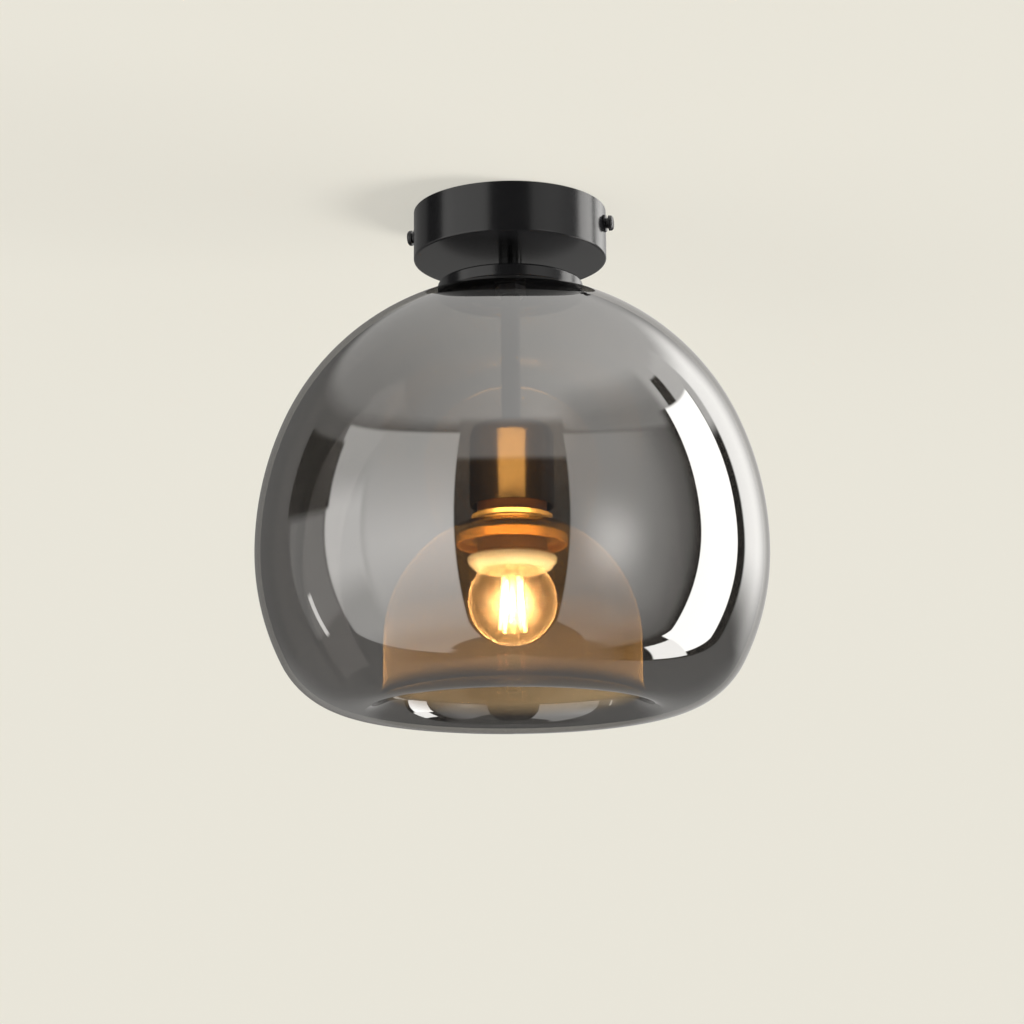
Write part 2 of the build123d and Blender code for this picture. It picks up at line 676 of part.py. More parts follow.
# Shade ring gasket: a soft washer shaped to the underside of the dome
gasket_over = dome_arc_edge(ring_gasket_top, ring_gasket_inner_radius, ring_gasket_outer_radius)
gasket_below = dome_arc_edge(ring_gasket_under, ring_gasket_inner_radius, ring_gasket_outer_radius)
pieces["shade_ring_gasket"] = turned(
    gasket_over,
    gasket_below,
    Line(gasket_over @ 0, gasket_below @ 0),
    Line(gasket_over @ 1, gasket_below @ 1),
)

# Shade ring: a dished ring on the barrel's thread, with a hub inside and a rolled rim outside
hub_radius = ring_bore + shade_ring_hub
rim_inner = shade_ring_radius - shade_ring_rim
ring_over = dome_arc_edge(shade_ring_top, ring_bore, shade_ring_radius)
ring_below = dome_arc_edge(shade_ring_top - shade_ring_web, hub_radius, rim_inner)
hub_end_z = dome_height(shade_ring_top, ring_bore) - shade_ring_hub_depth
rim_side = Polyline(
    ring_over @ 1, (shade_ring_radius, shade_ring_rim_z), (rim_inner, shade_ring_rim_z), ring_below @ 1
)
hub_side = Polyline(ring_below @ 0, (hub_radius, hub_end_z), (ring_bore, hub_end_z), ring_over @ 0)
shade_ring = turned(ring_over, ring_below, *rim_side.edges(), *hub_side.edges())
pieces["shade_ring"] = fillet(shade_ring.edges().group_by(Axis.Z)[0], shade_ring_rim_round)

# Lampholder collar: cream bowl round the lamp's neck, pushed into the barrel's mouth
collar_wide_z = barrel_end_z - collar_brim
bowl_middle = (
    (collar_radius + collar_lip_radius) / 2 + collar_lip_wall / 2,
    (collar_wide_z + collar_end_z) / 2 - collar_lip_wall / 2,
)
bowl_side = ThreePointArc((collar_radius, collar_wide_z), bowl_middle, (collar_lip_radius, collar_end_z))
collar_rest = Polyline(
    (collar_lip_radius, collar_end_z),
    (collar_lip_inner, collar_end_z),
    (collar_bore, barrel_end_z),
    (collar_bore, barrel_end_z + collar_spigot_height),
    (collar_spigot_radius, barrel_end_z + collar_spigot_height),
    (collar_spigot_radius, barrel_end_z - seat_gap),
    (collar_radius - collar_brim, barrel_end_z - seat_gap),
    (collar_radius, collar_wide_z),
)
pieces["lampholder_collar"] = turned(bowl_side, *collar_rest.edges())

# Lamp cap: thin shell with a round-section screw thread, the insulator on top and the contact tip
cap_inner = cap_core_radius - cap_sheet
lamp_cap = rod(cap_core_radius, cap_end_z, cap_top_edge_z)
lamp_cap += thread_bead(cap_core_radius, cap_bead, cap_thread_z)
lamp_cap -= rod(cap_inner, cap_end_z, cap_top_edge_z)
pieces["bulb_cap"] = lamp_cap
pieces["bulb_cap_insulator"] = turned_outline(
    (0, insulator_top_z),
    (insulator_top_radius, insulator_top_z),
    (cap_core_radius, cap_top_edge_z),
    (cap_inner - seat_gap, cap_top_edge_z),
    (cap_inner - seat_gap, cap_top_edge_z - cap_sheet),
    (0, cap_top_edge_z - cap_sheet),
)
tip = rod(tip_radius, insulator_top_z + seat_gap, tip_z)
pieces["bulb_contact_tip"] = fillet(tip.edges().group_by(Axis.Z)[-1], tip_height / 3)

# Driver board: a round circuit board inside the lamp cap
driver_z = cap_top_edge_z - driver_drop
pieces["bulb_driver_board"] = rod(cap_inner - seat_gap, driver_z, driver_z + driver_thickness)


# Bulb glass: a thin sphere drawn in to a neck that is cemented into the cap
def bulb_skin(depth):
    """Edges of one skin of the bulb from its lowest point up to the neck, at a depth in the wall."""
    sphere = bulb_radius - depth
    blend = bulb_neck_blend + depth
    neck = neck_radius - depth
    rise = math.sqrt((sphere + blend) ** 2 - (neck + blend) ** 2)
    meet = math.degrees(math.atan2(rise, neck + blend))
    return [
        CenterArc((0, bulb_centre_z), sphere, -90, 90 + meet),
        CenterArc((neck + blend, bulb_centre_z + rise), blend, 180 + meet, -meet),
        Line((neck, bulb_centre_z + rise), (neck, mount_top_z)),
    ]


bulb_outside = bulb_skin(0)
bulb_inside = bulb_skin(bulb_wall)
pieces["bulb_glass"] = turned(
    *bulb_outside,
    *bulb_inside,
    Line(bulb_outside[0] @ 0, bulb_inside[0] @ 0),
    Line(bulb_outside[-1] @ 1, bulb_inside[-1] @ 1),
)

# Lamp mount: flared glass stem sealed in the neck, with a thin post down the middle
flare_radius = neck_radius - bulb_wall - seat_gap
flare_end_z = mount_top_z - mount_flare_height
post_end_z = filament_foot_z - support_height
pieces["bulb_mount"] = turned_outline(
    (0, mount_top_z),
    (flare_radius, mount_top_z),
    (mount_radius, flare_end_z),
    (mount_radius, press_end_z),
    (post_radius, press_end_z - mount_radius),
    (post_radius, post_end_z),
    (0, post_end_z),
)

# Filaments: thin rods leaning outwards, fed by leads from the press and joined at the foot by a support
filaments = []
leads = []
support = rod(support_radius, filament_foot_z - support_height, filament_foot_z)
support -= rod(post_radius + thread_fit, filament_foot_z - support_height, filament_foot_z)
support_mid_z = filament_foot_z - support_height / 2
for index in range(filament_count):
    around = Rot(0, 0, 360 * index / filament_count + 180 / filament_count)
    rod_line = Line((filament_top_offset, 0, filament_top_z), (filament_foot_offset, 0, filament_foot_z))
    rod_section = Plane(origin=rod_line @ 0, z_dir=rod_line % 0) * Circle(filament_radius)
    filaments.append(around * sweep(rod_section, path=rod_line))
    lead_line = Line(
        (mount_radius, 0, press_end_z - seat_gap - lead_radius),
        (filament_top_offset, 0, filament_top_z + seat_gap),
    )
    lead_section = Plane(origin=lead_line @ 0, z_dir=lead_line % 0) * Circle(lead_radius)
    lead = sweep(lead_section, path=lead_line)
    leads.append(around * (lead - rod(filament_radius, filament_foot_z, filament_top_z, filament_top_offset)))
    spoke = Pos(support_radius / 2, 0, support_mid_z) * Rot(0, 90, 0)
    spoke_length = filament_foot_offset - support_radius / 2
    spoke_rod = spoke * extrude(Circle(lead_radius), amount=spoke_length)
    support += around * (spoke_rod - rod(post_radius + thread_fit, post_end_z, filament_foot_z))
pieces["bulb_filaments"] = Compound(children=filaments)
pieces["bulb_lead_wires"] = Compound(children=leads)
pieces["bulb_filament_support"] = support

os.makedirs("parts", exist_ok=True)
for name, piece in pieces.items():
    export_step(piece, "parts/" + name + ".step")
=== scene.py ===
import math
import bpy
import numpy as np
from mathutils import Matrix, Vector


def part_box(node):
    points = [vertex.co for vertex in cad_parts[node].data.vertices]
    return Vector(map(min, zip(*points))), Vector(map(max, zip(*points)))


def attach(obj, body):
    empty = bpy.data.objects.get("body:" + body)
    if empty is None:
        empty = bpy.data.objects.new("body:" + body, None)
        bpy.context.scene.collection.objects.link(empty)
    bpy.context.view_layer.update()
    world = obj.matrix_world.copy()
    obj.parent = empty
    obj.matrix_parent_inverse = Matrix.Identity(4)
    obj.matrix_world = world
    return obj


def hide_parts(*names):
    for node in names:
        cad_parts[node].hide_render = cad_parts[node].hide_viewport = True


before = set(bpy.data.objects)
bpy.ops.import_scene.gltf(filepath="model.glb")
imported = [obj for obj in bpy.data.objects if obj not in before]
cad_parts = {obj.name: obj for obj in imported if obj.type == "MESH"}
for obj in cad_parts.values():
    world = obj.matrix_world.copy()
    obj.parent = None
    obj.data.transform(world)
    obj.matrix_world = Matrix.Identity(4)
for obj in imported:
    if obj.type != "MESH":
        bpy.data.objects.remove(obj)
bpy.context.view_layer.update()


# Mounting bracket, nuts, washers and inner screws: pressed steel strap and turned fasteners, zinc plated.
# The strap is screwed to the ceiling and its ears take the canopy's side screws.
def surface(name):
    """New node material: gives the material, its node tree and its main shader."""
    material = bpy.data.materials.new(name)
    material.use_nodes = True
    tree = material.node_tree
    return material, tree, tree.nodes["Principled BSDF"]


def put(tree, kind, inputs=None, **options):
    """Adds one node, sets its options, and sets or links its inputs by name or number."""
    made = tree.nodes.new("ShaderNode" + kind)
    for key, value in options.items():
        setattr(made, key, value)
    for key, value in (inputs or {}).items():
        if isinstance(value, bpy.types.NodeSocket):
            tree.links.new(value, made.inputs[key])
        else:
            made.inputs[key].default_value = value
    return made


def place(tree):
    """Object coordinates, in metres from the middle of the ceiling plate."""
    return put(tree, "TexCoord").outputs["Object"]


def noise(tree, grain, detail=3.0, stretch=(1.0, 1.0, 1.0)):
    """Noise from 0 to 1 with about one lump every 1/grain metres, squeezed along each axis by stretch."""
    squeezed = put(tree, "Mapping", {"Vector": place(tree), "Scale": stretch})
    inputs = {"Vector": squeezed.outputs["Vector"], "Scale": grain, "Detail": detail, "Roughness": 0.55}
    return put(tree, "TexNoise", inputs).outputs["Fac"]


def spread(tree, value, low, high, start=0.3, end=0.7):
    """Carries a value between start and end over to the range from low to high."""
    inputs = {"Value": value, "From Min": start, "From Max": end, "To Min": low, "To Max": high}
    return put(tree, "MapRange", inputs).outputs["Result"]


def mixed(tree, share, first, second):
    """Goes from a first colour to a second as the share goes from 0 to 1."""
    return put(tree, "Mix", {0: share, 6: first, 7: second}, data_type="RGBA").outputs[2]


def tones(tree, share, dark, light):
    """Mixes two plain colours, each given as red, green and blue."""
    return mixed(tree, share, (*dark, 1.0), (*light, 1.0))


def coat(tree, shader, tone, rough):
    """Gives a shader its tone and its roughness, both uneven over the surface."""
    tree.links.new(tone, shader.inputs["Base Color"])
    tree.links.new(rough, shader.inputs["Roughness"])


def relief(tree, shader, height, depth, strength=1.0):
    """Bump of a depth in metres from a height value between 0 and 1."""
    bump = put(tree, "Bump", {"Height": height, "Distance": depth, "Strength": strength})
    tree.links.new(bump.outputs["Normal"], shader.inputs["Normal"])


def dress(material, *names):
    """Gives a finish to CAD pieces by name."""
    for name in names:
        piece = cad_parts[name]
        piece.data.materials.clear()
        piece.data.materials.append(material)


zinc, tree, shader = surface("zinc_plate")
spangle = put(tree, "TexVoronoi", {"Vector": place(tree), "Scale": 420.0}).outputs["Distance"]
zinc_tone = tones(tree, spangle, (0.52, 0.53, 0.55), (0.68, 0.69, 0.71))
coat(tree, shader, zinc_tone, spread(tree, noise(tree, grain=900.0), low=0.28, high=0.46))
shader.inputs["Metallic"].default_value = 1.0
relief(tree, shader, noise(tree, grain=2600.0), depth=0.00003)
dress(zinc, "mounting_bracket", "canopy_washer", "canopy_locknut", "cap_locknut", "sleeve_locknut")
dress(zinc, "earth_screw", "terminal_block_screw", "terminal_clamp_screws", "contact_terminal_screws")


# Terminal block and wiring: natural polyamide body with brass barrels, and three insulated wires.
# The block is screwed under the bracket's wing; live and neutral run down through the stem.
def moulded(name, dark, light, rough, grain=1200.0, depth=0.00002):
    """Moulded or painted finish: two near tones in patches, a range of roughness and a fine skin."""
    material, tree, shader = surface(name)
    tone = tones(tree, noise(tree, grain=160.0), dark, light)
    coat(tree, shader, tone, spread(tree, noise(tree, grain), *rough))
    relief(tree, shader, noise(tree, grain), depth)
    return material


def plated(name, dark, light, rough, stretch=(1.0, 1.0, 1.0)):
    """Bare or plated metal: two near tones, a range of roughness and fine turning marks."""
    material, tree, shader = surface(name)
    tone = tones(tree, noise(tree, grain=240.0, stretch=stretch), dark, light)
    coat(tree, shader, tone, spread(tree, noise(tree, grain=1500.0, stretch=stretch), *rough))
    shader.inputs["Metallic"].default_value = 1.0
    relief(tree, shader, noise(tree, grain=1800.0, stretch=stretch), depth=0.00001)
    return material


polyamide = moulded("natural_polyamide", (0.80, 0.79, 0.72), (0.88, 0.87, 0.81), rough=(0.42, 0.56))
dress(polyamide, "terminal_block")
brass = plated("plain_brass", (0.72, 0.52, 0.22), (0.84, 0.65, 0.32), rough=(0.22, 0.38))
dress(brass, "terminal_barrels", "earth_tag", "centre_contact", "side_contact", "threaded_shell")
wire_rough = (0.30, 0.40)
dress(moulded("brown_insulation", (0.20, 0.08, 0.03), (0.28, 0.12, 0.05), wire_rough), "live_wire")
dress(moulded("blue_insulation", (0.04, 0.13, 0.46), (0.06, 0.18, 0.55), wire_rough), "neutral_wire")
earth_stripe, tree, shader = surface("green_yellow_insulation")
stripe_turn = (0.9, 0.0, 0.4)
stripe_place = put(tree, "Mapping", {"Vector": place(tree), "Rotation": stripe_turn}).outputs["Vector"]
stripe = put(tree, "TexWave", {"Vector": stripe_place, "Scale": 60.0, "Distortion": 0.6}).outputs["Fac"]
stripe_edge = spread(tree, stripe, low=0.0, high=1.0, start=0.55, end=0.65)
stripe_tone = tones(tree, stripe_edge, (0.10, 0.42, 0.08), (0.80, 0.68, 0.06))
coat(tree, shader, stripe_tone, spread(tree, noise(tree, grain=900.0), low=0.30, high=0.42))
dress(earth_stripe, "earth_wire")

# Canopy, spacer, stem, glass cap and lampholder sleeve: spun or drawn steel in satin black powder coat.
# The canopy is held to the bracket's ears by a screw each side; the rest hangs from the hollow stem.
black_coat, tree, shader = surface("satin_black_coat")
black_patches = noise(tree, grain=70.0, detail=4.0)
black_tone = tones(tree, black_patches, (0.007, 0.007, 0.008), (0.012, 0.012, 0.013))
coat(tree, shader, black_tone, spread(tree, noise(tree, grain=700.0), low=0.17, high=0.24))
relief(tree, shader, noise(tree, grain=1600.0, detail=2.0), depth=0.00002, strength=0.6)
dress(black_coat, "canopy", "stem_spacer", "stem", "glass_cap", "lampholder_sleeve")

# Canopy screws and washers: slotted pan heads in gloss black plating, each with a flat washer.
# They go through the canopy's wall into the tapped ears of the bracket.
gloss_black = moulded(
    "gloss_black_plating", (0.008, 0.008, 0.009), (0.016, 0.016, 0.017), rough=(0.18, 0.30))
dress(gloss_black, "canopy_screw_right", "canopy_screw_left")
dress(gloss_black, "canopy_screw_washer_right", "canopy_screw_washer_left")

# Gaskets: soft black rubber rings, one between the cap and the crown, one under the dome's hole.
# They are squeezed between metal and glass and carry nothing by themselves.
rubber = moulded(
    "black_rubber", (0.022, 0.022, 0.022), (0.034, 0.033, 0.033), rough=(0.62, 0.78),
    grain=2200.0, depth=0.00004)
dress(rubber, "glass_gasket", "shade_ring_gasket")

# Glass globe: one blown shell of smoked glass with a thin half-mirror coat, folded in at the bottom.
# The fold rises inside as an uncoated dome, and the dome's hole is clamped on the lampholder.
globe_radius = 0.130
globe_crown_height = 0.1405
globe_crown_angle = 66.7
globe_bowl_depth = 0.0812
globe_corner_radius = 0.0444
globe_corner_angle = 27.2
globe_fold_radius = 0.0147
globe_dome_base = 0.0355
glass_wall = 0.003
top_hole = 0.0230
neck_hole = 0.0192
globe_steps = 224
glass_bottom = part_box("globe_bowl")[0].z
glass_equator = glass_bottom + globe_bowl_depth
crown_sine = math.sin(math.radians(globe_crown_angle))
crown_cosine = math.cos(math.radians(globe_crown_angle))
arc_share = crown_sine * crown_cosine - (1 - crown_sine) * (1 - crown_cosine)
crown_radius = (globe_radius * crown_cosine - globe_crown_height * (1 - crown_sine)) / arc_share
upper_radius = (globe_crown_height * crown_sine - globe_radius * (1 - crown_cosine)) / arc_share
corner_sine = math.sin(math.radians(globe_corner_angle))
corner_cosine = math.cos(math.radians(globe_corner_angle))
lower_radius = globe_corner_radius + (globe_bowl_depth - globe_corner_radius) / corner_sine
bottom_radius = globe_radius - lower_radius * (1 - corner_cosine) - globe_corner_radius * corner_cosine
crown_centre = glass_equator + globe_crown_height - crown_radius
dome_radius = bottom_radius - globe_fold_radius
dome_centre = glass_bottom + globe_dome_base


def arc(reach, height, radius, start, turn, count):
    """Arc in the section plane round (reach, height), from the start angle over a turn, in degrees."""
    angles = np.radians(start + turn * np.linspace(0.0, 1.0, count))
    return np.column_stack([reach + radius * np.cos(angles), height + radius * np.sin(angles)])


def glass_skin(depth, lip):
    """One skin of the wall, at a depth under the outside, with its ends a lip's width short of the holes.

    Tangent arcs run down from the top hole over the crown, the equator and the bottom corner and round
    the fold. A straight wall and one more arc rise from there over the dome to the neck hole.
    """
    crown_arc = crown_radius - depth
    dome_arc = dome_radius + depth
    rim = math.degrees(math.acos((top_hole + lip) / crown_arc))
    neck = math.degrees(math.acos((neck_hole + lip) / dome_arc))
    shoulder = 90 - globe_crown_angle
    corner_start = -globe_corner_angle
    corner_turn = globe_corner_angle - 90
    corner_height = glass_bottom + globe_corner_radius
    fold_height = glass_bottom + globe_fold_radius
    wall_count = 8
    wall_heights = np.linspace(fold_height, dome_centre, wall_count)
    runs = [
        arc(0.0, crown_centre, crown_arc, rim, shoulder - rim, 44),
        arc(globe_radius - upper_radius, glass_equator, upper_radius - depth, shoulder, -shoulder, 22),
        arc(globe_radius - lower_radius, glass_equator, lower_radius - depth, 0, corner_start, 20),
        arc(bottom_radius, corner_height, globe_corner_radius - depth, corner_start, corner_turn, 26),
        arc(bottom_radius, fold_height, globe_fold_radius - depth, -90, -90, 18),
        np.column_stack([np.full(wall_count, dome_arc), wall_heights]),
        arc(0.0, dome_centre, dome_arc, 0, neck, 34),
    ]
    return np.concatenate([runs[0]] + [run[1:] for run in runs[1:]])


def lip_round(before, after, count=9):
    """Half circle between two ends of the skins, bulging along the way that the wall was going."""
    middle = (before + after) / 2
    across = (before - after) / 2
    onward = np.array([across[1], -across[0]])
    angles = np.linspace(0.0, math.pi, count)[1:-1, None]
    return middle + across * np.cos(angles) + onward * np.sin(angles)


def show(thing):
    """Puts a new object into the scene."""
    bpy.context.scene.collection.objects.link(thing)
    return thing


def spun(name, section, around):
    """Closed skin of revolution: each section point (reach, height) goes once round the axis in steps."""
    turns = np.arange(around) * 2 * math.pi / around
    grid = np.empty((len(section), around, 3))
    grid[..., 0] = section[:, :1] * np.cos(turns)
    grid[..., 1] = section[:, :1] * np.sin(turns)
    grid[..., 2] = section[:, 1:]
    rows = np.arange(len(section))[:, None] * around
    below = np.roll(rows, -1, axis=0)
    here = np.arange(around)[None, :]
    beside = np.roll(here, -1, axis=1)
    quads = np.stack([rows + here, below + here, below + beside, rows + beside], axis=-1).reshape(-1, 4)
    mesh = bpy.data.meshes.new(name)
    mesh.from_pydata(grid.reshape(-1, 3), [], quads)
    mesh.polygons.foreach_set("use_smooth", np.ones(len(quads), bool))
    return show(bpy.data.objects.new(name, mesh))


glass_lip = glass_wall / 2
outside = glass_skin(0.0, glass_lip)
inside = glass_skin(glass_wall, glass_lip)
neck_lip = lip_round(outside[-1], inside[-1])
top_lip = lip_round(inside[0], outside[0])
globe_glass = spun("globe_glass", np.concatenate([outside, neck_lip, inside[::-1], top_lip]), globe_steps)
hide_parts("globe_crown", "globe_bowl", "globe_dome")
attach(globe_glass, "fixture")


def maths(tree, operation, *values):
    """One step of arithmetic on linked values or plain numbers."""
    return put(tree, "Math", dict(enumerate(values)), operation=operation).outputs[0]


def layered(tree, share, below, above):
    """Lays one shader over another by a share from 0 to 1."""
    return put(tree, "MixShader", {0: share, 1: below.outputs[0], 2: above.outputs[0]})


def slanting(tree, power):
    """Rises from 0, seen square on, to 1 at the edge; a higher power keeps it nearer the edge."""
    facing = put(tree, "LayerWeight", {"Blend": 0.5}).outputs["Facing"]
    return maths(tree, "POWER", facing, power)


def front_only(tree, shader):
    """Keeps a shader on faces seen from their front and clears their backs, so each wall counts once."""
    leaving = put(tree, "NewGeometry").outputs["Backfacing"]
    return layered(tree, leaving, shader, put(tree, "BsdfTransparent"))


def whole_look(tree, shader):
    """Makes a shader the whole look of its material."""
    tree.links.new(shader.outputs[0], tree.nodes["Material Output"].inputs["Surface"])


smoked_glass, tree, shader = surface("smoked_mirror_glass")
tree.nodes.remove(shader)
# Amber see-through tint of the dome: painted warm lamplight on plain smoked glass.
dome_painted_warm_tint = (0.62, 0.50, 0.36, 1.0)
slant_tint = (0.04, 0.038, 0.036, 1.0)
mirror_tint = (0.98, 0.975, 0.97, 1.0)
haze_tint = (0.85, 0.66, 0.38, 1.0)
shadow_tint = (0.995, 0.994, 0.992, 1.0)
coat_blend = 0.66
bare_blend = 0.36
haze_thrown_back = 0.06

# The dome is what lies near the axis, under the dome's top and above the fold.
spot = put(tree, "SeparateXYZ", {"Vector": place(tree)})
height = spot.outputs["Z"]
flat = put(tree, "CombineXYZ", {"X": spot.outputs["X"], "Y": spot.outputs["Y"]})
reach = put(tree, "VectorMath", {0: flat.outputs["Vector"]}, operation="LENGTH").outputs["Value"]
within = spread(tree, reach, low=1.0, high=0.0, start=dome_radius + 0.0050, end=dome_radius + 0.0070)
under = spread(tree, height, low=1.0, high=0.0, start=-0.155, end=-0.151)
over = spread(tree, height, low=0.0, high=1.0, start=glass_bottom + 0.007, end=glass_bottom + 0.014)
dome_part = maths(tree, "MULTIPLY", maths(tree, "MULTIPLY", within, under), over)

# The smoke drifts slowly in tone, is denser low down and darkest at a slant; the amber in the dome is
# painted warm lamplight.
drift = noise(tree, grain=14.0, detail=2.0)
smoke_high = tones(tree, drift, (0.285, 0.275, 0.268), (0.315, 0.305, 0.297))
smoke_low = tones(tree, drift, (0.205, 0.196, 0.190), (0.235, 0.226, 0.220))
low_down = spread(tree, height, low=1.0, high=0.0, start=-0.165, end=-0.085)
smoke = mixed(tree, low_down, smoke_high, smoke_low)
smoke = mixed(tree, dome_part, smoke, dome_painted_warm_tint)
smoke = mixed(tree, slanting(tree, 3.0), smoke, slant_tint)
see_through = put(tree, "BsdfTransparent", {"Color": smoke})

# The half-mirror coat is sharp and faintly wavy; the bare dome reflects less.
mirror = put(tree, "BsdfGlossy", {"Color": mirror_tint, "Roughness": 0.006})
relief(tree, mirror, noise(tree, grain=22.0, detail=1.0), depth=0.0006, strength=0.03)
blend = spread(tree, dome_part, low=coat_blend, high=bare_blend, start=0.0, end=1.0)
mirror_share = put(tree, "LayerWeight", {"Blend": blend}).outputs["Fresnel"]
coated = layered(tree, mirror_share, see_through, mirror)

# A thin haze on the dome passes the lamp's light on, more of it low down and at a slant.
haze_share = spread(tree, slanting(tree, 7.0), low=0.025, high=0.11, start=0.0, end=1.0)
haze_gain = spread(tree, height, low=6.0, high=1.0, start=glass_bottom + 0.012, end=glass_bottom + 0.050)
haze_share = maths(tree, "MULTIPLY", maths(tree, "MULTIPLY", haze_share, haze_gain), dome_part)
haze_through = put(tree, "BsdfTranslucent", {"Color": haze_tint})
haze_back = put(tree, "BsdfDiffuse", {"Color": haze_tint})
haze = layered(tree, haze_thrown_back, haze_through, haze_back)
hazy = layered(tree, haze_share, coated, haze)

# Shadows that the glass throws stay pale.
lamp_ray = put(tree, "LightPath").outputs["Is Shadow Ray"]
pale = put(tree, "BsdfTransparent", {"Color": shadow_tint})
whole_look(tree, layered(tree, lamp_ray, front_only(tree, hazy), pale))
globe_glass.data.materials.append(smoked_glass)

# Lampholder barrel, carrier and insulator: moulded brown phenolic and unglazed white ceramic.
# The barrel screws into the sleeve and the ceramic disc sits on the threaded shell's flange.
phenolic = moulded("brown_phenolic", (0.075, 0.040, 0.022), (0.110, 0.060, 0.034), rough=(0.30, 0.44))
dress(phenolic, "lampholder_barrel", "bulb_cap_insulator")
ceramic = moulded(
    "white_ceramic", (0.84, 0.82, 0.77), (0.92, 0.90, 0.86), rough=(0.48, 0.62),
    grain=900.0, depth=0.00005)
dress(ceramic, "contact_carrier")

# Clamp ring and shade ring: turned and pressed steel, plated, screwed on the barrel's outside; their amber
# tone is painted warm lamplight. Together they grip the rim of the dome's hole.
ring_plate_painted_warm = plated(
    "plate_with_painted_warm_light", (0.60, 0.40, 0.18), (0.74, 0.52, 0.26), rough=(0.26, 0.40), stretch=(1.0, 1.0, 6.0))
ring_plate_painted_warm.node_tree.nodes["Principled BSDF"].inputs["Metallic"].default_value = 0.55
dress(ring_plate_painted_warm, "upper_clamp_ring", "shade_ring")

# Lampholder collar: cream glazed bowl round the lamp's neck, pushed into the barrel's mouth.
# Its glaze is a little uneven in tone and has a clear gloss coat.
cream = moulded("cream_glaze", (0.80, 0.68, 0.46), (0.90, 0.80, 0.60), rough=(0.16, 0.26), grain=420.0)
cream_shader = cream.node_tree.nodes["Principled BSDF"]
cream_shader.inputs["Coat Weight"].default_value = 0.5
cream_shader.inputs["Coat Roughness"].default_value = 0.08
dress(cream, "lampholder_collar")

# Lamp: rolled aluminium screw cap, brass tip, clear round bulb, glass mount and four lit filaments.
# It screws up into the shell and is the only light that the fitting gives.
aluminium = plated("rolled_aluminium", (0.66, 0.66, 0.67), (0.82, 0.82, 0.83), rough=(0.20, 0.34))
dress(aluminium, "bulb_cap")
dress(brass, "bulb_contact_tip")
green_board = moulded("green_board", (0.03, 0.18, 0.07), (0.05, 0.26, 0.11), rough=(0.40, 0.52))
dress(green_board, "bulb_driver_board")
nickel = plated("nickel_wire", (0.50, 0.50, 0.52), (0.66, 0.66, 0.68), rough=(0.24, 0.36))
dress(nickel, "bulb_lead_wires", "bulb_filament_support")


def lamp_glass(name, film, rim_film, glare):
    """Clear thin glass, counted once a wall, with a faint film on it that the filaments light.

    The film's share rises from film to rim_film at the rim; glare is the share that blurs what is behind.
    """
    material, tree, shader = surface(name)
    tree.nodes.remove(shader)
    tint = tones(tree, noise(tree, grain=60.0), (0.95, 0.92, 0.87), (0.985, 0.97, 0.94))
    through = put(tree, "BsdfTransparent", {"Color": tint})
    shine = put(tree, "BsdfGlossy", {"Color": (1.0, 1.0, 1.0, 1.0), "Roughness": 0.02})
    pane = layered(tree, put(tree, "Fresnel", {"IOR": 1.45}).outputs["Fac"], through, shine)
    blur = put(tree, "BsdfRefraction", {"Color": (1.0, 0.94, 0.84, 1.0), "Roughness": 0.75, "IOR": 1.5})
    glaring = layered(tree, glare, pane, blur)
    veil = put(tree, "BsdfTranslucent", {"Color": (0.95, 0.82, 0.62, 1.0)})
    film_share = spread(tree, slanting(tree, 8.0), film, rim_film, start=0.0, end=1.0)
    whole_look(tree, front_only(tree, layered(tree, film_share, glaring, veil)))
    return material


dress(lamp_glass("thin_clear_glass", film=0.016, rim_film=0.14, glare=0.070), "bulb_glass")
dress(lamp_glass("lit_mount_glass", film=0.50, rim_film=0.75, glare=0.05), "bulb_mount")

filament_glow, tree, shader = surface("lit_filament")
glow_tone = tones(tree, noise(tree, grain=500.0), (1.0, 0.62, 0.24), (1.0, 0.74, 0.38))
tree.links.new(glow_tone, shader.inputs["Base Color"])
tree.links.new(glow_tone, shader.inputs["Emission Color"])
shader.inputs["Emission Strength"].default_value = 48.0
dress(filament_glow, "bulb_filaments")

filaments_low, filaments_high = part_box("bulb_filaments")
lamp_light = bpy.data.lights.new("lamp_light", "POINT")
lamp_light.energy = 3.2
lamp_light.color = (1.0, 0.66, 0.32)
lamp_light.shadow_soft_size = 0.007
lamp_lit = show(bpy.data.objects.new("lamp_light", lamp_light))
lamp_lit.location = (filaments_low + filaments_high) / 2
lamp_lit.visible_camera = False
lamp_lit.visible_glossy = False
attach(lamp_lit, "bulb")


# Light that the round glass throws back: the wall acts as a hollow mirror and gathers the lamp's light on
# the sleeve, the rings and the collar. Flat warm lights stand for it, each kept to the pieces it falls on:
# two hang in the dome's mouth and face up, three stand between the lampholder and the wall.
def light_link(lamp, state, *things):
    """Limits a lamp to some things, or keeps its light off them, by state INCLUDE or EXCLUDE."""
    linked = bpy.data.collections.new(lamp.name + "_" + state.lower())
    for thing in things:
        linked.objects.link(thing)
    for member in linked.collection_objects:
        member.light_linking.link_state = state
    lamp.light_linking.receiver_collection = linked


def glow_light(name, pieces, shape, size, power, colour, where, aim):
    """A flat light of a width and a height at one place, turned to another, for the named pieces only."""
    light = bpy.data.lights.new(name, "AREA")
    light.shape = shape
    light.size = size[0]
    light.size_y = size[1]
    light.energy = power
    light.color = colour
    lamp = show(bpy.data.objects.new(name, light))
    lamp.location = where
    lamp.rotation_euler = (Vector(where) - Vector(aim)).to_track_quat("Z", "Y").to_euler()
    lamp.visible_camera = False
    light_link(lamp, "INCLUDE", *[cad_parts[piece] for piece in pieces])
    return lamp


